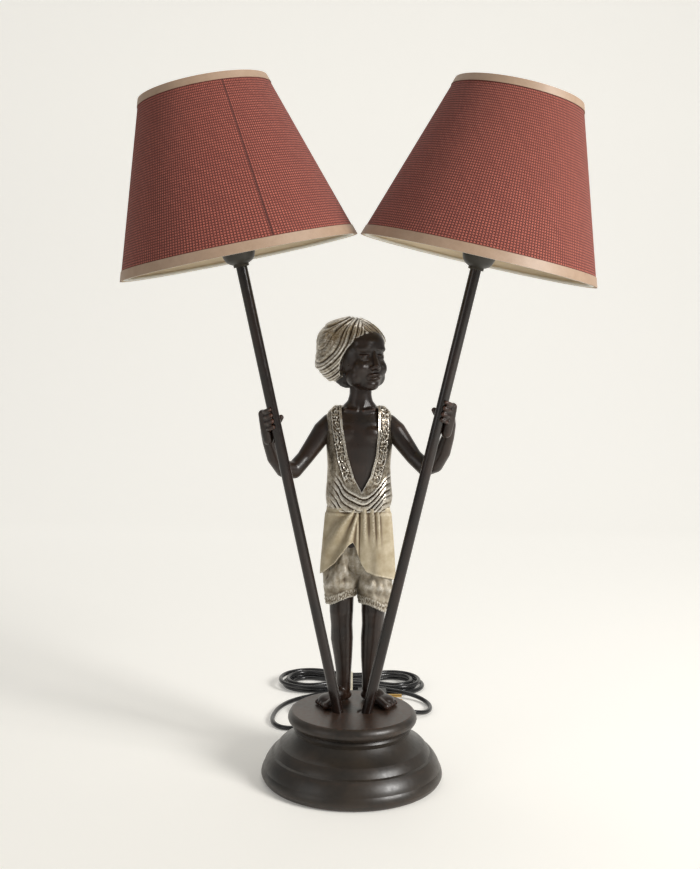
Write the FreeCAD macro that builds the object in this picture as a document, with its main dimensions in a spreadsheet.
"""Figural table lamp: a standing figure in a turban grips two leaning lamp poles on a round moulded plinth.

Frame: millimetres, +Z up, origin on the table under the middle of the plinth, -Y is the front.
"""
import FreeCAD, Part
import Sketcher
import math
import os

V = FreeCAD.Vector

# ---------------------------------------------------------------- driving sizes
SIZES = {
    # felt pad, bottom cover and the hollow plinth casting
    "felt_radius": 84.0, "felt_thick": 2.0,
    "cover_thick": 1.5, "rim_lift": 1.0, "cover_fit": 0.3,
    "foot_rim": 2.5, "foot_bulge_out": 5.3, "foot_bulge_z": 6.0,
    "foot_line_out": 3.0, "foot_line_z": 13.0,
    "bell_low_in": 4.5, "bell_low_z": 25.5, "bell_step": 2.5,
    "bell_mid_in": 13.0, "bell_mid_z": 34.5,
    "neck_in": 27.5, "neck_z": 46.5, "bead_out": 1.9, "bead_z": 51.0,
    "torus_low_out": 1.5, "torus_low_z": 54.0,
    "torus_out": 7.1, "torus_z": 60.0,
    "plateau_out": 2.5, "plateau_z": 67.2,
    "plinth_wall": 6.5, "ceiling_thick": 6.2, "ledge_width": 4.0,
    "cavity_shoulder_z": 20.0, "cavity_neck_z": 42.0, "cavity_bell_z": 28.0, "cavity_bell_in": 1.0,
    "torus_nip": 1.0, "torus_nip_z": 53.2, "step_rise": 1.0,
    "foot_bow": 0.4, "foot_line_bow": 0.5, "bell_low_bow": 0.9, "bell_bow": 0.5, "cove_bow": 1.2,
    "torus_bow": 1.2,
    # cast iron weight and the screws that hold cover and weight
    "weight_in": 14.0, "weight_bore": 26.0, "weight_thick": 15.0,
    "boss_in": 22.0, "boss_radius": 5.0, "boss_top_z": 36.0,
    "screw_count": 3, "screw_radius": 2.0, "screw_head_radius": 4.0, "screw_head_thick": 1.0,
    "screw_bite": 10.0,
    # terminal block inside the weight's bore
    "block_long": 32.0, "block_deep": 16.0, "block_tall": 13.0,
    # poles
    "pole_radius": 5.2, "pole_bore": 3.6, "pole_foot_x": 14.0, "pole_foot_y": -9.1,
    "pole_side_tilt": 12.3, "pole_front_lean": 5.3, "pole_length": 441.0, "pole_tail": 20.0,
    "seat_radius": 9.5, "seat_depth": 12.0, "seat_sink": 1.5,
    "washer_radius": 8.7, "washer_thick": 1.0, "nut_corner_radius": 8.0, "nut_thick": 4.0,
    # figure fixings
    "stud_radius": 2.5, "stud_tail": 10.0, "stud_bite": 30.0,
    "stud_nut_corner": 4.6, "stud_nut_thick": 4.0, "stud_washer_radius": 5.0, "stud_washer_thick": 1.0,
    # cup, lampholder, ring nut and lamp
    "cup_sleeve": 2.0, "cup_low_radius": 7.2, "cup_low_height": 2.4, "cup_mid_radius": 13.2,
    "cup_mid_height": 6.5, "cup_radius": 15.7, "cup_height": 15.0, "cup_wall": 1.0,
    "cup_bow": 0.5, "cup_rim_bow": 0.4, "cup_play": 0.3,
    "holder_heel": 4.0, "holder_chamfer": 3.5, "holder_drop": 0.6, "seat_thick": 3.0,
    "cap_chamfer": 2.5, "cap_gap": 0.4, "holder_radius": 12.2,
    "holder_rise": 2.5, "holder_length": 47.0, "cup_floor": 1.2,
    "holder_floor": 18.0, "thread_radius": 13.2, "thread_rise": 25.0, "thread_length": 18.0,
    "insert_radius": 8.6, "insert_length": 24.0,
    "cap_radius": 6.9, "cap_length": 24.0, "cap_play": 0.35, "contact_radius": 5.0, "contact_long": 3.0,
    "nut_ring_radius": 17.5, "nut_ring_thick": 6.0, "ring_play": 0.35,
    "bulb_radius": 17.5, "bulb_length": 72.0, "bulb_neck_radius": 8.0, "bulb_neck_rise": 6.0,
    "bulb_tip_radius": 1.5, "bulb_neck_bow": 1.5, "bulb_bow": 3.0, "bulb_crown_bow": 1.2,
    "bulb_belly_share": 0.42, "bulb_crown_share": 0.84, "bulb_crown_narrow": 0.62,
    # how far drills and cutters run past the faces that they open
    "spare": 20.0,
    # shade
    "shade_rise": 6.0, "shade_height": 152.3, "shade_bottom_radius": 110.0,
    "shade_top_radius": 58.7, "fabric_thick": 0.8, "lining_thick": 0.5, "skin_gap": 0.25,
    "top_trim_height": 6.5, "bottom_trim_height": 8.5, "trim_thick": 0.6,
    "wire_ring_radius": 1.4, "spoke_radius": 1.3, "spoke_count": 3,
    "fitter_thick": 1.6, "fitter_width": 7.8, "spoke_gap": 0.8,
}

# Figure sections: name, height z, centre x, centre y, half width, half depth
TORSO = (
    ("hip", 226.0, 3.2, 24.0, 27.0, 18.0), ("belly", 248.0, 3.3, 23.5, 26.0, 17.2),
    ("waist", 275.0, 3.5, 22.0, 25.0, 16.5),
    ("ribs", 310.0, 3.2, 22.0, 29.0, 19.5), ("chest", 338.0, 3.0, 22.5, 32.0, 20.0),
    ("shoulder", 356.0, 3.0, 24.0, 31.0, 15.0), ("collar", 366.0, 3.5, 24.5, 17.0, 11.5),
    ("neck", 377.0, 4.0, 24.0, 11.2, 11.0), ("nape", 392.0, 4.2, 25.0, 11.5, 11.4),
)
LEFT_LEG = (
    ("ankle", 84.0, -9.0, 30.0, 7.0, 8.0), ("shin", 101.0, -9.2, 29.0, 7.4, 8.4),
    ("calf", 132.0, -11.2, 28.0, 9.8, 11.0), ("knee", 156.0, -11.8, 26.0, 11.0, 12.0),
    ("thigh", 168.0, -12.0, 25.5, 11.6, 13.0),
)
RIGHT_LEG = (
    ("ankle", 84.0, 17.0, 30.0, 7.0, 8.0), ("shin", 101.0, 17.2, 29.0, 7.4, 8.4),
    ("calf", 132.0, 19.4, 28.0, 10.0, 11.0), ("knee", 156.0, 19.8, 26.0, 11.0, 12.0),
    ("thigh", 168.0, 19.8, 25.5, 11.6, 13.0),
)
LEFT_BREECH = (
    ("hem", 160.0, -12.6, 25.0, 15.0, 16.5), ("cuff", 172.0, -14.0, 25.0, 18.0, 19.0),
    ("thigh", 200.0, -14.5, 25.0, 18.5, 22.0), ("top", 226.0, -11.0, 25.0, 20.0, 23.0),
)
RIGHT_BREECH = (
    ("hem", 154.0, 20.8, 25.0, 15.0, 16.5), ("cuff", 172.0, 20.4, 25.0, 17.6, 19.0),
    ("thigh", 200.0, 20.2, 25.0, 18.0, 22.0), ("top", 226.0, 17.0, 25.0, 20.0, 23.0),
)
SASH = (
    ("hem", 196.0, 3.2, 25.0, 37.5, 27.5), ("low", 214.0, 3.2, 25.0, 37.2, 27.0),
    ("mid", 238.0, 3.4, 24.0, 34.8, 25.0), ("top", 262.0, 3.6, 23.0, 31.2, 21.5),
)
VEST = (
    ("hem", 254.0, 3.6, 23.0, 30.5, 21.5), ("fold", 272.0, 3.6, 22.5, 33.0, 22.8),
    ("waist", 290.0, 3.6, 22.0, 31.4, 20.8), ("ribs", 318.0, 3.3, 22.0, 32.6, 21.5),
    ("chest", 342.0, 3.0, 23.0, 33.4, 21.5), ("shoulder", 358.0, 3.0, 24.0, 32.4, 17.0),
    ("strap", 365.5, 3.2, 24.5, 25.0, 12.5),
)
HEAD = (
    ("jaw", 382.5, 9.5, 15.0, 9.0, 10.5), ("cheek", 393.0, 8.0, 18.0, 15.5, 18.0),
    ("ear", 407.0, 5.5, 20.5, 19.5, 22.5), ("brow", 420.0, 3.5, 21.5, 20.0, 23.0),
    ("crown", 432.0, 1.0, 22.0, 17.5, 19.0),
)
TURBAN = (
    ("nape", 391.5, -12.0, 31.0, 12.6, 12.0), ("roll", 402.0, -9.5, 29.0, 21.0, 19.5),
    ("band", 418.0, -8.0, 27.0, 33.5, 29.0), ("crest", 436.0, -8.2, 25.5, 31.0, 28.5),
    ("dome", 448.0, -11.0, 25.0, 20.5, 19.5), ("top", 454.5, -13.0, 25.0, 7.0, 7.0),
)
# Arm stations: name, x, y, z, radius across the limb
LEFT_ARM = (
    ("shoulder", -22.0, 24.0, 350.0, 12.5), ("upper", -37.0, 22.0, 335.0, 10.5),
    ("mid", -50.0, 17.0, 316.0, 9.0), ("elbow", -61.0, 9.0, 302.0, 9.0),
    ("forearm", -76.0, -3.5, 310.0, 8.4), ("wrist", -84.0, -13.0, 330.0, 7.2),
    ("palm", -84.5, -19.0, 348.0, 8.0), ("knuckle", -81.5, -22.0, 362.0, 6.0),
)
RIGHT_ARM = (
    ("shoulder", 28.0, 24.0, 350.0, 12.5), ("upper", 44.0, 22.0, 336.0, 10.5),
    ("mid", 57.0, 17.0, 319.0, 9.0), ("elbow", 69.0, 8.0, 306.0, 9.0),
    ("forearm", 81.0, -4.5, 318.0, 8.4), ("wrist", 88.0, -14.0, 338.0, 7.2),
    ("palm", 88.0, -20.5, 356.0, 8.0), ("knuckle", 85.0, -23.5, 371.0, 6.0),
)
FIGURE = {
    "left_foot_x": -9.5, "right_foot_x": 17.0, "foot_heel_y": 31.0, "stud_y": 30.0, "foot_long": 39.0,
    "heel_back": 8.0, "ankle_tall": 17.5, "ankle_swell": 0.8,
    "foot_wide": 17.0, "foot_high": 12.0, "foot_splay": 38.0, "foot_flat": 1.5,
    "neckline_x": 6.0, "neckline_z": 282.0, "neckline_half_angle": 14.0, "neckline_tall": 120.0,
    "neckline_deep": 40.0, "neckline_y": 12.0,
    "head_turn": 30.0, "nose_out": 23.5, "nose_z": 402.0, "nose_low": 4.16, "nose_high": 1.92,
    "nose_long": 12.0, "nose_lean": 12.0,
    "ear_z": 404.0, "ear_half": 5.5, "ear_sink": 1.0, "ear_back": 2.0,
    "finger_radius": 3.4, "finger_step": 6.2, "finger_count": 4,
    "finger_sweep": 150.0, "thumb_side": 110.0, "hand_gap": 0.05,
    "left_hand_along": 285.0, "right_hand_along": 294.0,
}

# Flexible cord: outer diameter, exit bush, hand-chosen routes and the hank
CORD = {
    "cord_radius": 2.6, "exit_z": 10.5, "bush_flange_radius": 6.8, "bush_flange_thick": 2.5,
    "bush_neck_radius": 4.6, "bush_seat_out": 0.8, "bush_inner_in": 6.0, "bush_play": 0.2,
    "relief_length": 24.0,
    "relief_root_radius": 4.6, "relief_tip_radius": 3.4,
    "hank_y": 292.0, "hank_z": 3.25, "hank_layer": 5.75, "hank_reach": 94.0, "hank_reach_step": 5.0,
    "hank_round": 42.0, "hank_round_step": 5.5, "hank_waist": 23.0, "hank_waist_step": 4.4,
    "hank_mouth": 26.0, "hank_halves": 8, "hank_end": 5.2, "gap_step": 2.0, "gap_apart": 24.0,
    "bend_share": 0.45,
    "tie_width": 3.0, "tie_thick": 0.5, "tie_gap": 0.1,
    "switch_x": 10.0, "switch_y": 171.0, "switch_long": 64.0, "switch_wide": 26.0,
    "switch_tall": 18.0, "switch_split": 9.0, "switch_relief": 20.0, "switch_wall": 2.0,
    "rocker_long": 18.0, "rocker_wide": 10.0, "rocker_rise": 2.0, "rocker_play": 0.35,
    "rocker_pin_radius": 1.2, "rocker_pin_drop": 1.5, "rocker_sink": 2.0,
    "plug_x": -30.0, "plug_y": 224.0, "plug_long": 34.0, "plug_wide": 35.0, "plug_tall": 13.7,
    "plug_tail_long": 16.0, "plug_tail_wide": 14.0, "plug_relief": 22.0,
    "pin_radius": 2.0, "pin_long": 19.0, "pin_spread": 18.6, "pin_root": 6.0,
}

# Sizes that follow from other ones
TIED = {
    "foot_radius": "felt_radius + foot_rim", "foot_bulge_radius": "felt_radius + foot_bulge_out",
    "foot_line_radius": "felt_radius + foot_line_out", "bell_low_radius": "felt_radius - bell_low_in",
    "bell_mid_radius": "felt_radius - bell_mid_in", "neck_radius": "felt_radius - neck_in",
    "bead_radius": "neck_radius + bead_out", "torus_low_radius": "neck_radius + torus_low_out",
    "torus_radius": "neck_radius + torus_out", "plateau_radius": "neck_radius + plateau_out",
    "weight_radius": "felt_radius - weight_in", "boss_circle": "felt_radius - boss_in",
    "bush_seat_y": "felt_radius + bush_seat_out", "bush_inner_y": "felt_radius - bush_inner_in",
    "cup_bottom": "pole_length - cup_sleeve", "holder_bottom": "pole_length + holder_rise",
    "thread_start": "pole_length + thread_rise", "shade_bottom": "pole_length + shade_rise",
}

SECTIONS = {
    "torso": TORSO, "left_leg": LEFT_LEG, "right_leg": RIGHT_LEG, "left_breech": LEFT_BREECH,
    "right_breech": RIGHT_BREECH, "sash": SASH, "vest": VEST, "head": HEAD, "turban": TURBAN,
}
LIMBS = {"left_arm": LEFT_ARM, "right_arm": RIGHT_ARM}

# ---------------------------------------------------------------- document and sheet
doc = FreeCAD.newDocument("FiguralTableLamp")
sheet = doc.addObject("Spreadsheet::Sheet", "Sizes")
size = {}


def put(alias, number, formula=None):
    """Write one size into the next row of the sheet, as a number or as a formula on other sizes."""
    row = len(size) + 1
    sheet.set("A%d" % row, alias)
    sheet.set("B%d" % row, "=" + formula if formula else str(number))
    sheet.setAlias("B%d" % row, alias)
    size[alias] = float(number)


for table in (SIZES, FIGURE, CORD):
    for alias, value in table.items():
        put(alias, value)
for form, stations in SECTIONS.items():
    for station in stations:
        for key, value in zip(("z", "x", "y", "wide", "deep"), station[1:]):
            put("%s_%s_%s" % (form, station[0], key), value)
for form, stations in LIMBS.items():
    for station in stations:
        for key, value in zip(("x", "y", "z", "rad"), station[1:]):
            put("%s_%s_%s" % (form, station[0], key), value)
doc.recompute()

nodes = []


def bind(obj, **formulas):
    """Bind properties of an object to formulas on the sheet's cells."""
    for name, formula in formulas.items():
        path = name.replace("__", ".")
        text = formula
        for alias in sorted(set(words(formula)), key=len, reverse=True):
            if alias in size:
                text = replace_word(text, alias, "Sizes." + alias)
        obj.setExpression(path, text)


def words(text):
    """Split a formula into its names."""
    return "".join(c if c.isalnum() or c == "_" else " " for c in text).split()


def replace_word(text, word, new):
    """Replace whole words only, and none that is already behind a dot."""
    out = ""
    at = 0
    while at < len(text):
        end = at + len(word)
        free_before = at == 0 or not (text[at - 1].isalnum() or text[at - 1] in "_.")
        free_after = end >= len(text) or not (text[end].isalnum() or text[end] == "_")
        if text[at:end] == word and free_before and free_after:
            out += new
            at = end
        else:
            out += text[at]
            at += 1
    return out


def cylinder(name, radius, height, z="0", x="0", y="0"):
    """Upright cylinder standing at x, y, z."""
    obj = doc.addObject("Part::Cylinder", name)
    bind(obj, Radius=radius, Height=height, Placement__Base__x=x, Placement__Base__y=y,
         Placement__Base__z=z)
    return obj


def block(name, long, deep, tall, x="0", y="0", z="0"):
    """Box centred on x and y, standing at height z."""
    obj = doc.addObject("Part::Box", name)
    bind(obj, Length=long, Width=deep, Height=tall,
         Placement__Base__x="%s - (%s) / 2" % (x, long),
         Placement__Base__y="%s - (%s) / 2" % (y, deep), Placement__Base__z=z)
    return obj


def hexagon(name, corner, height, z="0", x="0", y="0"):
    """Hexagonal prism."""
    obj = doc.addObject("Part::Prism", name)
    obj.Polygon = 6
    bind(obj, Circumradius=corner, Height=height, Placement__Base__x=x, Placement__Base__y=y,
         Placement__Base__z=z)
    return obj


def cut(name, base, *tools):
    """Base minus every tool."""
    for index, tool in enumerate(tools):
        last = index == len(tools) - 1
        obj = doc.addObject("Part::Cut", name if last else name + "_cut%d" % index)
        obj.Base = base
        obj.Tool = tool
        base = obj
    return base


def fuse(name, *parts):
    """All parts joined into one solid."""
    obj = doc.addObject("Part::MultiFuse", name)
    obj.Shapes = list(parts)
    obj.Refine = False
    return obj


def group(name, *parts):
    """Identical loose pieces kept together as separate solids."""
    obj = doc.addObject("Part::Compound", name)
    obj.Links = list(parts)
    return obj


def ring(name, outer, inner, height, z="0"):
    """Flat ring or tube."""
    return cut(name, cylinder(name + "_outer", outer, height, z),
               cylinder(name + "_bore", inner, height, z))


def turned(name, profile):
    """Body turned about Z from a profile of (radius, z) formulas; an "arc" row gives a bulge's height."""
    body = doc.addObject("PartDesign::Body", name)
    sketch = body.newObject("Sketcher::SketchObject", name + "_profile")
    plane = [f for f in body.Origin.OriginFeatures if f.Role == "XZ_Plane"][0]
    sketch.AttachmentSupport = (plane, [""])
    sketch.MapMode = "FlatFace"
    corners = [row for row in profile if row[0] != "arc"]
    places = [V(value(r), value(z), 0) for r, z in corners]
    bulges = {}
    count = 0
    for row in profile:
        if row[0] == "arc":
            bulges[count - 1] = row[1]
        else:
            count += 1
    for index, place in enumerate(places):
        follow = places[(index + 1) % len(places)]
        if index in bulges:
            sketch.addGeometry(bulge(place, follow, bulges[index]), False)
        else:
            sketch.addGeometry(Part.LineSegment(place, follow), False)
    total = len(places)
    ends = []
    for index in range(total):
        forward = index not in bulges or not bulges[index].startswith("-")
        ends.append((1, 2) if forward else (2, 1))
    for index in range(total):
        follow = (index + 1) % total
        sketch.addConstraint(Sketcher.Constraint("Coincident", index, ends[index][1], follow,
                                                 ends[follow][0]))
    for index, (r, z) in enumerate(corners):
        for kind, formula, number in (("DistanceX", r, places[index].x),
                                      ("DistanceY", z, places[index].y)):
            at = sketch.addConstraint(Sketcher.Constraint(kind, -1, 1, index, ends[index][0],
                                                          number))
            bind(sketch, **{"Constraints[%d]" % at: formula})
    for index, sagitta in bulges.items():
        (r_one, z_one), (r_two, z_two) = corners[index], corners[(index + 1) % total]
        radius = "((%s - (%s))^2 + (%s - (%s))^2) / (8 * %s) + %s / 2" % (
            r_two, r_one, z_two, z_one, sagitta.strip("-"), sagitta.strip("-"))
        at = sketch.addConstraint(Sketcher.Constraint("Radius", index,
                                                      sketch.Geometry[index].Radius))
        bind(sketch, **{"Constraints[%d]" % at: radius})
    turn = body.newObject("PartDesign::Revolution", name + "_turn")
    turn.Profile = sketch
    turn.ReferenceAxis = (sketch, ["V_Axis"])
    turn.Angle = 360.0
    return body


def bulge(start, end, sagitta):
    """Arc from start to end that stands out to the right by the sagitta, drawn anticlockwise."""
    stand = value(sagitta)
    along = end - start
    radius = along.Length ** 2 / (8 * abs(stand)) + abs(stand) / 2
    side = V(along.y, -along.x, 0).normalize() * (1 if stand > 0 else -1)
    centre = (start + end) * 0.5 - side * (radius - abs(stand))
    first, last = (start, end) if stand > 0 else (end, start)
    begin = math.atan2(first.y - centre.y, first.x - centre.x)
    finish = math.atan2(last.y - centre.y, last.x - centre.x)
    if finish < begin:
        finish += 2 * math.pi
    return Part.ArcOfCircle(Part.Circle(centre, V(0, 0, 1), radius), begin, finish)


def value(formula):
    """Number that a formula gives with the sizes in the sheet."""
    text = formula
    for alias in sorted(set(words(formula)), key=len, reverse=True):
        if alias in size:
            text = replace_word(text, alias, repr(size[alias]))
    return FreeCAD.Units.Quantity(text).Value


for tied_alias, tied_formula in TIED.items():
    put(tied_alias, value(tied_formula), tied_formula)
doc.recompute()


def loft(name, form):
    """Smooth closed form through the level ellipses of its table."""
    rings = []
    for station in SECTIONS[form]:
        key = "%s_%s_" % (form, station[0])
        wide, deep = size[key + "wide"], size[key + "deep"]
        oval = doc.addObject("Part::Ellipse", name + "_" + station[0])
        if wide >= deep:
            bind(oval, MajorRadius=key + "wide", MinorRadius=key + "deep")
        else:
            bind(oval, MajorRadius=key + "deep", MinorRadius=key + "wide")
            oval.Placement.Rotation = FreeCAD.Rotation(V(0, 0, 1), 90)
        bind(oval, Placement__Base__x=key + "x", Placement__Base__y=key + "y",
             Placement__Base__z=key + "z")
        rings.append(oval)
    obj = doc.addObject("Part::Loft", name)
    obj.Sections = rings
    obj.Solid = True
    obj.Ruled = False
    return obj


def node(obj, label, placement=None):
    """Name a finished piece, place it and keep it for writing."""
    obj.Label = label
    if placement is not None:
        obj.Placement = placement
    nodes.append(obj)
    return obj


# ---------------------------------------------------------------- base
def pole_axis(side):
    """Unit vector up along the pole on that side."""
    slope = V(side * math.tan(math.radians(size["pole_side_tilt"])),
              -math.tan(math.radians(size["pole_front_lean"])), 1.0)
    return slope.normalize()


def pole_place(side):
    """Placement that stands a piece on the plateau along that side's pole."""
    foot = V(side * size["pole_foot_x"], size["pole_foot_y"], size["plateau_z"])
    return FreeCAD.Placement(foot, FreeCAD.Rotation(V(0, 0, 1), pole_axis(side)))


def build_plinth():
    """Hollow round plinth with screw bosses, pole seats and holes."""
    shell = turned("plinth_shell", (
        ("foot_radius", "rim_lift"), ("arc", "foot_bow"), ("foot_bulge_radius", "foot_bulge_z"),
        ("arc", "foot_line_bow"), ("foot_line_radius", "foot_line_z"), ("arc", "bell_low_bow"),
        ("bell_low_radius", "bell_low_z"),
        ("bell_low_radius - bell_step", "bell_low_z + step_rise"),
        ("arc", "bell_bow"), ("bell_mid_radius", "bell_mid_z"), ("arc", "-cove_bow"),
        ("neck_radius", "neck_z"), ("bead_radius", "bead_z"),
        ("torus_low_radius - torus_nip", "torus_nip_z"),
        ("torus_low_radius", "torus_low_z"), ("arc", "torus_bow"), ("torus_radius", "torus_z"),
        ("arc", "torus_bow"), ("plateau_radius", "plateau_z"), ("0", "plateau_z"),
        ("0", "plateau_z - ceiling_thick"),
        ("neck_radius - plinth_wall", "plateau_z - ceiling_thick"),
        ("neck_radius - plinth_wall", "cavity_neck_z"),
        ("bell_mid_radius - cavity_bell_in", "cavity_bell_z"),
        ("felt_radius + cover_fit - ledge_width", "cavity_shoulder_z"),
        ("felt_radius + cover_fit - ledge_width", "felt_thick + cover_thick"),
        ("felt_radius + cover_fit", "felt_thick + cover_thick"), ("felt_radius + cover_fit", "rim_lift"),
    ))
    floor = "felt_thick + cover_thick + weight_thick"
    adds = [shell]
    cuts = []
    for index in range(int(size["screw_count"])):
        turn = "%d * 360 / screw_count + 90" % index
        x = "boss_circle * cos(%s)" % turn
        y = "boss_circle * sin(%s)" % turn
        adds.append(cylinder("boss_%d" % index, "boss_radius", "boss_top_z - (%s)" % floor,
                             floor, x, y))
        cuts.append(cylinder("boss_hole_%d" % index, "screw_radius", "screw_bite", floor, x, y))
    for side, word in ((-1, "left"), (1, "right")):
        seat = group(word + "_seat", cylinder(word + "_seat_post", "seat_radius",
                                              "seat_depth - seat_sink", "-seat_depth"))
        hole = group(word + "_pole_hole", cylinder(word + "_pole_drill", "pole_radius",
                                                   "pole_tail + spare", "-pole_tail"))
        seat.Placement = pole_place(side)
        hole.Placement = pole_place(side)
        adds.append(seat)
        cuts.append(hole)
        cuts.append(cylinder(word + "_stud_hole", "stud_radius", "ceiling_thick + 2 * spare",
                             "plateau_z - ceiling_thick - spare", word + "_foot_x", "stud_y"))
    wall = group("bush_way", cylinder("bush_hole", "bush_neck_radius", "spare"))
    spot = group("bush_seat", cylinder("bush_spot", "bush_flange_radius + bush_play", "spare"))
    for tool, depth in ((wall, size["bush_inner_y"] - size["bush_play"]), (spot, size["bush_seat_y"])):
        tool.Placement = FreeCAD.Placement(V(0, depth, size["exit_z"]),
                                           FreeCAD.Rotation(V(1, 0, 0), -90))
        cuts.append(tool)
    node(cut("plinth", fuse("plinth_solid", *adds), *cuts), "plinth")


def build_base_inside():
    """Felt, cover, weight, screws, terminal block, bush and the nuts under the plateau."""
    node(cylinder("felt_pad", "felt_radius", "felt_thick"), "felt_pad")
    cover = cylinder("cover_disc", "felt_radius", "cover_thick", "felt_thick")
    weight = ring("weight_ring", "weight_radius", "weight_bore", "weight_thick",
                  "felt_thick + cover_thick")
    cover_holes = []
    weight_holes = []
    screws = []
    for index in range(int(size["screw_count"])):
        turn = "%d * 360 / screw_count + 90" % index
        x = "boss_circle * cos(%s)" % turn
        y = "boss_circle * sin(%s)" % turn
        cover_holes.append(cylinder("cover_hole_%d" % index, "screw_radius", "spare", "0", x, y))
        cover_holes.append(cylinder("cover_sink_%d" % index, "screw_head_radius",
                                    "screw_head_thick", "felt_thick", x, y))
        weight_holes.append(cylinder("weight_hole_%d" % index, "screw_radius", "2 * spare", "0", x, y))
        head = cylinder("screw_head_%d" % index, "screw_head_radius", "screw_head_thick",
                        "felt_thick", x, y)
        shank = cylinder("screw_shank_%d" % index, "screw_radius",
                         "cover_thick + weight_thick + screw_bite", "felt_thick", x, y)
        screws.append(fuse("screw_%d" % index, head, shank))
    node(cut("bottom_cover", cover, *cover_holes), "bottom_cover")
    node(cut("base_weight", weight, *weight_holes), "base_weight")
    node(group("cover_screws", *screws), "cover_screws")
    node(block("terminal_block", "block_long", "block_deep", "block_tall", "0", "0",
               "felt_thick + cover_thick"), "terminal_block")
    along_y = FreeCAD.Rotation(V(1, 0, 0), -90)
    body = turned("cord_bush", (
        ("0", "0"), ("bush_neck_radius", "0"),
        ("bush_neck_radius", "bush_seat_y - bush_inner_y"),
        ("bush_flange_radius", "bush_seat_y - bush_inner_y"),
        ("bush_flange_radius", "bush_seat_y - bush_inner_y + bush_flange_thick"),
        ("relief_root_radius", "bush_seat_y - bush_inner_y + bush_flange_thick"),
        ("relief_tip_radius", "bush_seat_y - bush_inner_y + bush_flange_thick + relief_length"),
        ("0", "bush_seat_y - bush_inner_y + bush_flange_thick + relief_length"),
    ))
    node(body, "cord_bush", FreeCAD.Placement(V(0, size["bush_inner_y"], size["exit_z"]), along_y))
    washers, nuts = [], []
    for side, word in ((-1, "left"), (1, "right")):
        washer = ring(word + "_pole_washer", "washer_radius", "pole_radius", "washer_thick",
                      "-seat_depth - washer_thick")
        nut = cut(word + "_pole_nut", hexagon(word + "_pole_hex", "nut_corner_radius", "nut_thick",
                                              "-seat_depth - washer_thick - nut_thick"),
                  cylinder(word + "_pole_hex_bore", "pole_radius", "2 * spare", "-2 * spare"))
        washer.Placement = pole_place(side)
        nut.Placement = pole_place(side)
        washers.append(washer)
        nuts.append(nut)
    node(group("pole_washers", *washers), "pole_washers")
    node(group("pole_nuts", *nuts), "pole_nuts")
    studs, rings, hexes = [], [], []
    for word in ("left", "right"):
        x, y = word + "_foot_x", "stud_y"
        ceiling = "plateau_z - ceiling_thick"
        studs.append(cylinder(word + "_stud", "stud_radius",
                              "stud_tail + ceiling_thick + stud_bite",
                              ceiling + " - stud_tail", x, y))
        rings.append(cut(word + "_stud_washer",
                         cylinder(word + "_stud_ring", "stud_washer_radius", "stud_washer_thick",
                                  ceiling + " - stud_washer_thick", x, y),
                         cylinder(word + "_stud_ring_bore", "stud_radius", "2 * spare",
                                  ceiling + " - spare", x, y)))
        hexes.append(cut(word + "_stud_nut",
                         hexagon(word + "_stud_hex", "stud_nut_corner", "stud_nut_thick",
                                 ceiling + " - stud_washer_thick - stud_nut_thick", x, y),
                         cylinder(word + "_stud_hex_bore", "stud_radius", "2 * spare",
                                  ceiling + " - spare", x, y)))
    node(group("figure_studs", *studs), "figure_studs")
    node(group("figure_washers", *rings), "figure_washers")
    node(group("figure_nuts", *hexes), "figure_nuts")


# ---------------------------------------------------------------- lamp heads
pairs = {}


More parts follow.
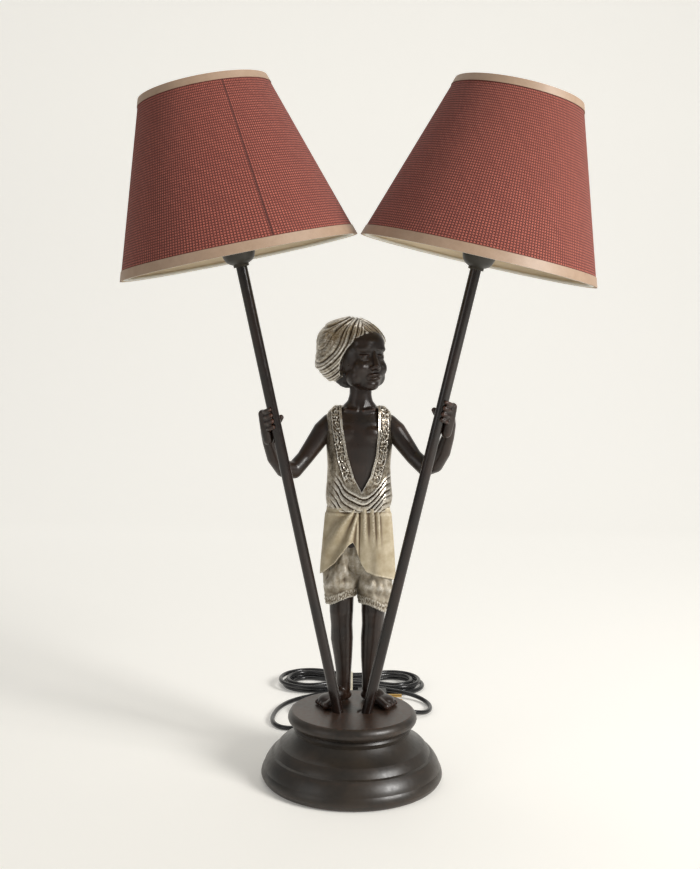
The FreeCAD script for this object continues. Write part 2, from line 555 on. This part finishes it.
def build_side(side, word):
    """One pole with its cup, lampholder, lamp, ring nut and shade, all about the pole's axis."""
    place = pole_place(side)

    def keep(obj, name):
        return node(obj, word + "_" + name, place)

    def shared(name, obj):
        obj.Placement = place
        pairs.setdefault(name, []).append(obj)

    keep(ring(word + "_pole", "pole_radius", "pole_bore", "pole_length + pole_tail",
              "-pole_tail"), "pole")
    keep(turned(word + "_cup", (
        ("pole_radius", "cup_bottom"), ("cup_low_radius", "cup_bottom"),
        ("cup_low_radius", "cup_bottom + cup_low_height"), ("arc", "cup_bow"),
        ("cup_mid_radius", "cup_bottom + cup_mid_height"), ("arc", "cup_rim_bow"),
        ("cup_radius", "cup_bottom + cup_height"),
        ("cup_radius - cup_wall", "cup_bottom + cup_height"),
        ("holder_radius + cup_play", "holder_bottom + holder_chamfer + cup_play"),
        ("holder_radius - holder_heel", "holder_bottom - holder_drop"),
        ("holder_radius - holder_heel", "holder_bottom - cup_floor"),
        ("pole_radius", "holder_bottom - cup_floor"),
    )), "cup")
    top = "holder_bottom + holder_length"
    base = "holder_bottom + holder_floor + seat_thick"
    keep(turned(word + "_lampholder", (
        ("pole_bore", "holder_bottom - holder_drop"),
        ("holder_radius - holder_heel", "holder_bottom - holder_drop"),
        ("holder_radius", "holder_bottom + holder_chamfer"), ("holder_radius", "thread_start"),
        ("thread_radius", "thread_start"), ("thread_radius", "thread_start + thread_length"),
        ("holder_radius", "thread_start + thread_length"), ("holder_radius", top),
        ("insert_radius", top), ("insert_radius", base), ("pole_bore", base),
    )), "lampholder")
    shared("screw_shells", ring(word + "_insert", "insert_radius", "cap_radius + cap_play",
                                "insert_length", base))
    shared("centre_contacts", group(word + "_contact", cylinder(
        word + "_contact_disc", "contact_radius", "contact_long", base)))
    cap_low = "(%s + contact_long + cap_gap)" % base
    cap_top = "(%s + cap_length)" % cap_low
    keep(turned(word + "_bulb_cap", (
        ("0", cap_low), ("cap_radius - cap_chamfer", cap_low),
        ("cap_radius", cap_low + " + cap_chamfer"),
        ("cap_radius", cap_top), ("0", cap_top),
    )), "bulb_cap")
    keep(turned(word + "_bulb_glass", (
        ("0", cap_top), ("cap_radius", cap_top),
        ("bulb_neck_radius", cap_top + " + bulb_neck_rise"), ("arc", "bulb_neck_bow"),
        ("bulb_radius", cap_top + " + bulb_length * bulb_belly_share"), ("arc", "bulb_bow"),
        ("bulb_radius * bulb_crown_narrow", cap_top + " + bulb_length * bulb_crown_share"),
        ("arc", "bulb_crown_bow"),
        ("bulb_tip_radius", cap_top + " + bulb_length"),
        ("0", cap_top + " + bulb_length"),
    )), "bulb_glass")
    fitter = "(thread_start + nut_ring_thick + ring_play)"
    shared("lower_ring_nuts", ring(word + "_lower_nut", "nut_ring_radius", "thread_radius",
                                   "nut_ring_thick", "thread_start"))
    keep(ring(word + "_upper_nut", "nut_ring_radius", "thread_radius + ring_play",
              "nut_ring_thick", fitter + " + fitter_thick + ring_play"), "upper_ring_nut")
    build_shade(side, word, keep, fitter)


def build_shade(side, word, keep, fitter):
    """Fabric cone, lining, trims, top wire and the carrier with its spokes."""
    low, tall = "shade_bottom", "shade_height"
    slope = "(shade_bottom_radius - shade_top_radius) / shade_height"
    skin = "(fabric_thick + trim_thick)"

    def wall(name, outer, inner, z, height):
        """Conical wall whose faces stand outer and inner from the shade's outline."""
        low_r = "shade_bottom_radius - (%s - shade_bottom) * %s" % (z, slope)
        high_r = "shade_bottom_radius - (%s + %s - shade_bottom) * %s" % (z, height, slope)
        return turned(name, (
            ("%s - %s" % (low_r, outer), z), ("%s - %s" % (high_r, outer), "%s + %s" % (z, height)),
            ("%s - %s" % (high_r, inner), "%s + %s" % (z, height)), ("%s - %s" % (low_r, inner), z),
        ))

    keep(wall(word + "_fabric", "trim_thick", skin, low, tall), "shade_fabric")
    keep(wall(word + "_lining", skin, "(%s + lining_thick)" % skin, low, tall), "shade_lining")
    keep(wall(word + "_bottom_trim", "0", "trim_thick", low, "bottom_trim_height"),
         "shade_bottom_trim")
    keep(wall(word + "_top_trim", "0", "trim_thick", low + " + " + tall + " - top_trim_height",
              "top_trim_height"), "shade_top_trim")
    inside = "(%s + lining_thick + skin_gap)" % skin
    for name, edge in (("top_wire", tall), ("bottom_wire", "wire_ring_radius * 2")):
        hoop = doc.addObject("Part::Torus", word + "_" + name)
        reach = "shade_bottom_radius - %s * %s - %s - wire_ring_radius" % (edge, slope, inside)
        bind(hoop, Radius1=reach, Radius2="wire_ring_radius",
             Placement__Base__z="%s + %s - wire_ring_radius" % (low, edge))
        if name == "top_wire":
            keep(group(word + "_top_hoop", hoop), "shade_" + name)
    plate = ring(word + "_fitter", "thread_radius + ring_play + fitter_width",
                 "thread_radius + ring_play", "fitter_thick", fitter)
    parts = [plate, hoop]
    for index in range(int(size["spoke_count"])):
        turn = math.radians(360.0 * index / size["spoke_count"] + 90)
        inner = size["nut_ring_radius"] + size["spoke_radius"] + size["spoke_gap"]
        inner_z = value(fitter + " + fitter_thick / 2")
        outer = value("shade_bottom_radius - wire_ring_radius * 2 * %s - %s - wire_ring_radius"
                      % (slope, inside))
        outer_z = value(low + " + wire_ring_radius")
        start = V(inner * math.cos(turn), inner * math.sin(turn), inner_z)
        end = V(outer * math.cos(turn), outer * math.sin(turn), outer_z)
        spoke = doc.addObject("Part::Cylinder", word + "_spoke_%d" % index)
        bind(spoke, Radius="spoke_radius")
        spoke.Height = (end - start).Length
        spoke.Placement = FreeCAD.Placement(start, FreeCAD.Rotation(V(0, 0, 1), end - start))
        parts.append(spoke)
    keep(fuse(word + "_carrier", *parts), "shade_carrier")


# ---------------------------------------------------------------- figure
ROUNDING = 0.001  # radii closer than this are taken as equal
ACROSS = 400.0  # width of a cutter that is wider than the figure


def shaped(name, shape):
    """Document object that holds a shape made here from the sheet's sizes."""
    obj = doc.addObject("Part::Feature", name)
    obj.Shape = shape
    return obj


def limb(form):
    """Rounded limb: cones between the stations of one table row, with a ball at each station."""
    places, radii = [], []
    for station in LIMBS[form]:
        key = "%s_%s_" % (form, station[0])
        places.append(V(size[key + "x"], size[key + "y"], size[key + "z"]))
        radii.append(size[key + "rad"])
    parts = [Part.makeSphere(radius, place) for place, radius in zip(places, radii)]
    for index in range(len(places) - 1):
        along = places[index + 1] - places[index]
        first, second = radii[index], radii[index + 1]
        if abs(first - second) < ROUNDING:
            parts.append(Part.makeCylinder(first, along.Length, places[index], along))
        else:
            parts.append(Part.makeCone(first, second, along.Length, places[index], along))
    return parts[0].multiFuse(parts[1:])


def fingers(side, along):
    """Four fingers that wrap round the pole from the hand's side, each just off the pole."""
    place = pole_place(side)
    reach = size["pole_radius"] + size["finger_radius"] + size["hand_gap"]
    parts = []
    sweep = size["finger_sweep"]
    for index in range(int(size["finger_count"])):
        height = along + size["finger_step"] * index
        turn = Part.makeTorus(reach, size["finger_radius"], V(0, 0, height), V(0, 0, 1), 0, 360,
                              sweep)
        start = size["thumb_side"] if side < 0 else 180.0 - size["thumb_side"] - sweep
        turn.rotate(V(0, 0, 0), V(0, 0, 1), start)
        tip_turn = math.radians(start + (sweep if side < 0 else 0.0))
        tip = Part.makeSphere(size["finger_radius"],
                              V(reach * math.cos(tip_turn), reach * math.sin(tip_turn), height))
        parts += [turn, tip]
    hand = parts[0].multiFuse(parts[1:])
    hand.Placement = place.multiply(hand.Placement)
    return hand


def build_figure():
    """Standing figure: body with legs and feet, head, turban, arms, vest, sash and breeches."""
    trunk = loft("torso_form", "torso")
    legs = {}
    feet = {}
    for word, turn in (("left", -1), ("right", 1)):
        legs[word] = loft(word + "_leg_form", word + "_leg")
        foot = doc.addObject("Part::Ellipsoid", word + "_foot_form")
        bind(foot, Radius1="foot_high", Radius2="foot_long / 2", Radius3="foot_wide / 2")
        splay = math.radians(size["foot_splay"])
        reach = size["foot_long"] / 2 - size["heel_back"]
        foot.Placement = FreeCAD.Placement(
            V(size[word + "_foot_x"] + turn * reach * math.sin(splay),
              size["foot_heel_y"] - reach * math.cos(splay), size["plateau_z"] + size["foot_flat"]),
            FreeCAD.Rotation(V(0, 0, 1), -turn * (90 - size["foot_splay"])))
        feet[word] = foot
    doc.recompute()
    body = trunk.Shape
    below = Part.makeBox(ACROSS, ACROSS, size["plateau_z"], V(-ACROSS / 2, -ACROSS / 2, 0))
    standing = []
    poles = []
    for side, word in ((-1, "left"), (1, "right")):
        ankle = V(size[word + "_foot_x"], size["stud_y"], size["plateau_z"])
        ankle_form = Part.makeCylinder(size[word + "_leg_ankle_wide"] + size["ankle_swell"],
                                       size["ankle_tall"], ankle)
        drill = Part.makeCylinder(size["stud_radius"], size["stud_bite"], ankle)
        pole = Part.makeCylinder(size["pole_radius"] + size["hand_gap"], size["pole_length"])
        pole.Placement = pole_place(side)
        poles.append(pole)
        leg = legs[word].Shape.fuse(ankle_form).fuse(feet[word].Shape)
        standing.append(biggest(leg.cut(below).cut(pole).cut(drill)))
    breech = loft("left_breech_form", "left_breech"), loft("right_breech_form", "right_breech")
    sash = loft("sash_form", "sash")
    vest = loft("vest_form", "vest")
    head = loft("head_form", "head")
    turban = loft("turban_form", "turban")
    doc.recompute()
    trousers = [breech[0].Shape, breech[1].Shape.cut(breech[0].Shape)]
    wrap = sash.Shape.cut(body).cut(trousers[0]).cut(trousers[1])
    half = size["neckline_half_angle"]
    tall = size["neckline_tall"]
    wide = tall * math.tan(math.radians(half))
    corner = V(size["neckline_x"], size["neckline_y"] - size["neckline_deep"], size["neckline_z"])
    wedge = Part.makePolygon([corner, corner + V(wide, 0, tall), corner + V(-wide, 0, tall), corner])
    opening = Part.Face(wedge).extrude(V(0, size["neckline_deep"], 0))
    jacket = vest.Shape.cut(sash.Shape).cut(body).cut(opening)
    face = head.Shape
    look = FreeCAD.Rotation(V(0, 0, 1), size["head_turn"])
    nose_at = V(size["head_ear_x"], size["head_ear_y"], size["nose_z"])
    nose = Part.makeCone(size["nose_low"], size["nose_high"], size["nose_long"])
    nose.Placement = FreeCAD.Placement(
        nose_at + look.multVec(V(0, -size["nose_out"], 0)),
        look.multiply(FreeCAD.Rotation(V(1, 0, 0), -size["nose_lean"])))
    face = face.fuse(nose)
    for turn in (-1, 1):
        ear = Part.makeSphere(size["ear_half"])
        ear.Placement = FreeCAD.Placement(
            V(size["head_ear_x"], size["head_ear_y"], size["ear_z"])
            + look.multVec(V(turn * (size["head_ear_wide"] - size["ear_sink"]),
                             size["ear_back"], 0)), look)
        face = face.fuse(ear)
    face = face.cut(body)
    wrapping = turban.Shape.cut(face).cut(body)
    arms = {}
    for side, word in ((-1, "left"), (1, "right")):
        arm = limb(word + "_arm")
        arm = arm.fuse(fingers(side, size[word + "_hand_along"]))
        arm = arm.cut(poles[0 if side < 0 else 1]).cut(vest.Shape).cut(body)
        arms[word] = biggest(arm)
    node(shaped("figure_torso_form", biggest(body)), "figure_torso")
    node(shaped("figure_legs_form", Part.makeCompound(standing)), "figure_legs")
    node(shaped("figure_head", biggest(face)), "figure_head")
    node(shaped("figure_turban", biggest(wrapping)), "turban")
    node(shaped("figure_left_arm", arms["left"]), "left_arm")
    node(shaped("figure_right_arm", arms["right"]), "right_arm")
    node(shaped("figure_vest", biggest(jacket)), "vest")
    node(shaped("figure_sash", biggest(wrap)), "sash")
    halves = [biggest(half.cut(leg)) for half, leg in zip(trousers, standing)]
    node(shaped("figure_breeches", Part.makeCompound(halves)), "breeches")


def biggest(shape):
    """Largest solid of a shape, without the slivers a cut may leave."""
    return max(shape.Solids, key=lambda solid: solid.Volume)


# ---------------------------------------------------------------- cord
LEAD_BENDS = (
    (0.0, 127.6, 8.8), (-8.6, 140.8, 5.6), (-23.0, 147.0, 3.4), (-38.5, 144.0, 2.75),
    (-51.0, 134.0, 2.75), (-63.5, 125.5, 2.75), (-77.5, 127.0, 2.75), (-86.5, 137.5, 2.75),
    (-90.5, 152.0, 2.75), (-90.5, 168.0, 2.75), (-87.5, 189.0, 2.75), (-80.0, 210.0, 2.75),
    (-67.0, 228.0, 2.75), (-50.0, 241.0, 2.75), (-34.0, 254.0, 2.9), (-19.0, 266.0, 3.25),
)
TAIL_BENDS = (
    (20.0, 265.5, 9.0), (35.0, 254.5, 9.0), (50.0, 247.5, 9.0), (67.0, 242.5, 7.6),
    (83.0, 234.0, 4.8), (93.0, 218.0, 2.75), (94.0, 199.0, 2.75), (87.0, 182.0, 3.6),
    (74.0, 172.0, 7.0),
)
PLUG_BENDS = (
    (-56.0, 172.0, 6.8), (-67.0, 183.0, 3.8), (-69.0, 199.0, 2.75), (-61.0, 214.0, 4.0),
    (-46.0, 223.5, 6.0),
)


def tube_through(name, points):
    """Round cord along straight runs joined by tangent arcs as large as the runs allow."""
    edges = []
    here = points[0]
    for index in range(1, len(points) - 1):
        before, corner, after = points[index - 1], points[index], points[index + 1]
        first = (corner - before).normalize()
        second = (after - corner).normalize()
        half = first.getAngle(second) / 2
        reach = size["bend_share"] * min((corner - before).Length, (after - corner).Length)
        start, end = corner - first * reach, corner + second * reach
        inward = (second - first).normalize()
        radius = reach / math.tan(half)
        middle = corner + inward * (radius / math.cos(half) - radius)
        edges.append(Part.LineSegment(here, start).toShape())
        edges.append(Part.Arc(start, middle, end).toShape())
        print("%s bend %d radius %.1f" % (name, index, radius))
        here = end
    edges.append(Part.LineSegment(here, points[-1]).toShape())
    return swept(name, edges, points[0], points[1] - points[0])


def swept(name, edges, start, way):
    """Tube of the cord's section along joined edges, with its volume set against its length."""
    path = Part.Wire(edges)
    section = Part.Wire([Part.makeCircle(size["cord_radius"], start, way)])
    body = path.makePipeShell([section], True, False)
    expected = math.pi * size["cord_radius"] ** 2 * path.Length
    print("%s length %.1f volume ratio %.4f" % (name, path.Length, body.Volume / expected))
    return body, path


def hank_rank(half):
    """How far in from the outermost loop a half turn lies: in on the lower layer, out on the upper."""
    half_count = size["hank_halves"] / 2
    return half + 0.5 if half < half_count else size["hank_halves"] - half - 0.5


def hank_waist(crossing):
    """Distance from the hank's middle line at which a strand crosses the waist."""
    if crossing in (0, int(size["hank_halves"])):
        return size["hank_mouth"]
    rank = min(crossing, size["hank_halves"] - crossing)
    return size["hank_waist"] - size["hank_waist_step"] * rank


def hank_height(crossing):
    """Height of a strand as it crosses the waist."""
    return size["hank_z"] + (size["hank_layer"] if crossing >= size["hank_halves"] / 2 else 0.0)


def quarter(half, crossing, low_z, high_z, outward):
    """Quarter turn from the waist to the tip of a lobe, as two arcs that share a tangent."""
    rank = hank_rank(half)
    reach = size["hank_reach"] - size["hank_reach_step"] * rank
    bow = size["hank_round"] - size["hank_round_step"] * rank
    waist = hank_waist(crossing)
    span = reach - bow
    back = (span ** 2 + waist ** 2 - bow ** 2) / (2 * (bow - waist))
    turn = math.asin(span / (bow + back))
    side = 1 if half % 2 == 0 else -1
    up = -1 if crossing % 2 == 0 else 1

    def at(x, y, z):
        return V(side * x, size["hank_y"] + up * y, z)

    def on_back(angle, z):
        return at(back * math.sin(angle), waist + back - back * math.cos(angle), z)

    def on_bow(angle, z):
        return at(span + bow * math.sin(angle), bow * math.cos(angle), z)

    middle_z = low_z + (high_z - low_z) * back * turn / (
        back * turn + bow * (turn + math.pi / 2))
    arcs = [
        (on_back(0, low_z), on_back(turn / 2, (low_z + middle_z) / 2), on_back(turn, middle_z)),
        (on_bow(-turn, middle_z), on_bow(math.pi / 4 - turn / 2, (middle_z + high_z) / 2),
         on_bow(math.pi / 2, high_z)),
    ]
    return arcs if outward else [tuple(reversed(arc)) for arc in reversed(arcs)]


def hank_arcs():
    """Arcs of the whole hank: loops that wind in, climb one layer along a run and wind out again."""
    arcs = []
    halves = int(size["hank_halves"])
    for half in range(halves):
        level = hank_height(half)
        arcs += quarter(half, half, level, level, True)
        arcs += quarter(half, half + 1, hank_height(half + 1), level, False)
    return arcs


def least_gap(path, step, apart):
    """Least distance between stretches of the path that are apart along it, less one diameter."""
    count = int(path.Length / step)
    spots = path.discretize(Number=count)
    skip = int(apart / step)
    least = path.Length
    for index, spot in enumerate(spots):
        for other in spots[index + skip:]:
            least = min(least, (spot - other).Length)
    return least - 2 * size["cord_radius"]


def build_cord():
    """Lead, hank, tail and plug lead with the switch, plug and tie that are on them."""
    exit_point = V(0, size["bush_seat_y"] + size["bush_flange_thick"] + size["relief_length"],
                   size["exit_z"])
    mouth_y = size["hank_y"] - size["hank_mouth"]
    hank_start = V(-size["hank_end"], mouth_y, size["hank_z"])
    hank_stop = V(size["hank_end"], mouth_y, hank_height(size["hank_halves"]))
    edges = [Part.LineSegment(hank_start, V(0, mouth_y, hank_start.z)).toShape()]
    for start, middle, end in hank_arcs():
        edges.append(Part.Arc(start, middle, end).toShape())
    edges.append(Part.LineSegment(V(0, mouth_y, hank_stop.z), hank_stop).toShape())
    hank, path = swept("cord_hank", edges, hank_start, V(1, 0, 0))
    print("hank least gap %.2f" % least_gap(path, size["gap_step"], size["gap_apart"]))
    node(shaped("cord_hank_tube", hank), "cord_hank")
    lead = [exit_point] + [V(*spot) for spot in LEAD_BENDS] + [hank_start]
    node(shaped("cord_lead_tube", tube_through("cord_lead", lead)[0]), "cord_lead")
    switch_end = size["switch_x"] + size["switch_long"] / 2 + size["switch_relief"]
    switch_start = size["switch_x"] - size["switch_long"] / 2 - size["switch_relief"]
    height = size["switch_split"]
    tail = [hank_stop] + [V(*spot) for spot in TAIL_BENDS] + [
        V(switch_end, size["switch_y"], height)]
    node(shaped("cord_tail_tube", tube_through("cord_tail", tail)[0]), "cord_tail")
    plug_z = size["plug_tall"] / 2
    plug_lead = [V(switch_start, size["switch_y"], height)] + [V(*spot) for spot in PLUG_BENDS] + [
        V(size["plug_x"], size["plug_y"], plug_z)]
    node(shaped("cord_plug_lead_tube", tube_through("cord_plug_lead", plug_lead)[0]),
         "cord_plug_lead")
    build_tie()
    build_switch()
    build_plug()


def build_tie():
    """Narrow tie round the waist of the hank."""
    low = size["hank_y"] - size["hank_mouth"] - size["cord_radius"] - size["tie_gap"]
    high = size["hank_y"] + hank_waist(1) + size["cord_radius"] + size["tie_gap"]
    floor = size["hank_z"] - size["cord_radius"] - size["tie_gap"]
    roof = size["hank_z"] + size["hank_layer"] + size["cord_radius"] + size["tie_gap"]
    thick = size["tie_thick"]
    wide = size["tie_width"]
    outer = Part.makeBox(wide, high - low + 2 * thick, roof - floor + 2 * thick,
                         V(-wide / 2, low - thick, floor - thick))
    inner = Part.makeBox(wide * 3, high - low, roof - floor, V(-wide * 1.5, low, floor))
    node(shaped("cord_tie_band", outer.cut(inner)), "cord_tie")


def build_switch():
    """Inline switch: lower and upper halves of the case with tapered reliefs, and the rocker."""
    x, y = "switch_x", "switch_y"
    inner_long, inner_wide = "switch_long - 2 * switch_wall", "switch_wide - 2 * switch_wall"
    case = block("switch_lower_case", "switch_long", "switch_wide", "switch_split", x, y)
    hollow = block("switch_lower_hollow", inner_long, inner_wide, "switch_split", x, y,
                   "switch_wall")
    lower = cut("switch_lower_shell", case, hollow)
    reliefs = []
    for side, word in ((-1, "left"), (1, "right")):
        relief = doc.addObject("Part::Cone", "switch_relief_" + word)
        bind(relief, Radius1="relief_root_radius", Radius2="relief_tip_radius",
             Height="switch_relief")
        relief.Placement = FreeCAD.Placement(
            V(size["switch_x"] + side * size["switch_long"] / 2, size["switch_y"],
              size["switch_split"]), FreeCAD.Rotation(V(0, 0, 1), V(side, 0, 0)))
        reliefs.append(relief)
    node(fuse("switch_base", lower, *reliefs), "switch_base")
    lid = block("switch_upper_case", "switch_long", "switch_wide", "switch_tall - switch_split",
                x, y, "switch_split")
    inside = block("switch_upper_hollow", inner_long, inner_wide,
                   "switch_tall - switch_split - switch_wall", x, y, "switch_split")
    slot = block("switch_slot", "rocker_long + 4 * rocker_play", "rocker_wide + 2 * rocker_play",
                 "spare", x, y, "switch_tall - switch_wall * 2")
    node(cut("switch_cover", lid, inside, slot), "switch_cover")
    button = block("rocker_button", "rocker_long", "rocker_wide",
                   "rocker_rise + switch_wall + rocker_sink", x, y,
                   "switch_tall - switch_wall - rocker_sink")
    pin = doc.addObject("Part::Cylinder", "rocker_pin")
    bind(pin, Radius="rocker_pin_radius", Height="switch_wide - 2 * switch_wall - 2 * rocker_play")
    pin.Placement = FreeCAD.Placement(
        V(size["switch_x"], size["switch_y"] - value(inner_wide) / 2 + size["rocker_play"],
          size["switch_tall"] - size["switch_wall"] - size["rocker_pin_drop"]),
        FreeCAD.Rotation(V(1, 0, 0), -90))
    node(fuse("switch_rocker", button, pin), "switch_rocker")


def build_plug():
    """Flat two-pin plug with its tail, tapered relief and pins."""
    centre_z = "plug_tall / 2"
    start = "plug_x + plug_relief"
    tail = block("plug_tail", "plug_tail_long", "plug_tail_wide", "plug_tall",
                 start + " + plug_tail_long / 2", "plug_y")
    body = block("plug_block", "plug_long", "plug_wide", "plug_tall",
                 start + " + plug_tail_long + plug_long / 2", "plug_y")
    relief = doc.addObject("Part::Cone", "plug_relief_cone")
    bind(relief, Radius1="relief_tip_radius", Radius2="relief_root_radius", Height="plug_relief")
    relief.Placement = FreeCAD.Placement(
        V(size["plug_x"], size["plug_y"], value(centre_z)),
        FreeCAD.Rotation(V(0, 0, 1), V(1, 0, 0)))
    pins = []
    sockets = []
    root = value(start + " + plug_tail_long + plug_long - pin_root")
    for side, word in ((-1, "front"), (1, "back")):
        for kept, name in ((pins, "plug_pin_"), (sockets, "plug_socket_")):
            pin = doc.addObject("Part::Cylinder", name + word)
            bind(pin, Radius="pin_radius", Height="pin_long + pin_root")
            pin.Placement = FreeCAD.Placement(
                V(root, size["plug_y"] + side * size["pin_spread"] / 2, value(centre_z)),
                FreeCAD.Rotation(V(0, 0, 1), V(1, 0, 0)))
            kept.append(pin)
    node(cut("plug_body", fuse("plug_solid", body, tail, relief), *sockets), "plug_body")
    node(group("plug_pins", *pins), "plug_pins")


# ---------------------------------------------------------------- build, check and write
def write_parts():
    """Check every object and write each named piece to its own file."""
    doc.recompute()
    for obj in doc.Objects:
        if "Invalid" in obj.State or "Error" in obj.State:
            raise RuntimeError("%s failed: %s" % (obj.Name, obj.State))
    os.makedirs("parts", exist_ok=True)
    for obj in nodes:
        shape = obj.Shape
        if shape.isNull() or not shape.isValid():
            raise RuntimeError("%s has no valid shape" % obj.Label)
        shape.exportStep("parts/%s.step" % obj.Label)
        box = shape.BoundBox
        print("%-24s solids %d volume %10.1f  x %.1f..%.1f y %.1f..%.1f z %.1f..%.1f" % (
            obj.Label, len(shape.Solids), shape.Volume, box.XMin, box.XMax, box.YMin, box.YMax,
            box.ZMin, box.ZMax))


build_plinth()
build_base_inside()
for lamp_side, lamp_word in ((-1, "left"), (1, "right")):
    build_side(lamp_side, lamp_word)
for pair_name, both in pairs.items():
    node(group(pair_name + "_pair", *both), pair_name)
build_figure()
build_cord()
write_parts()
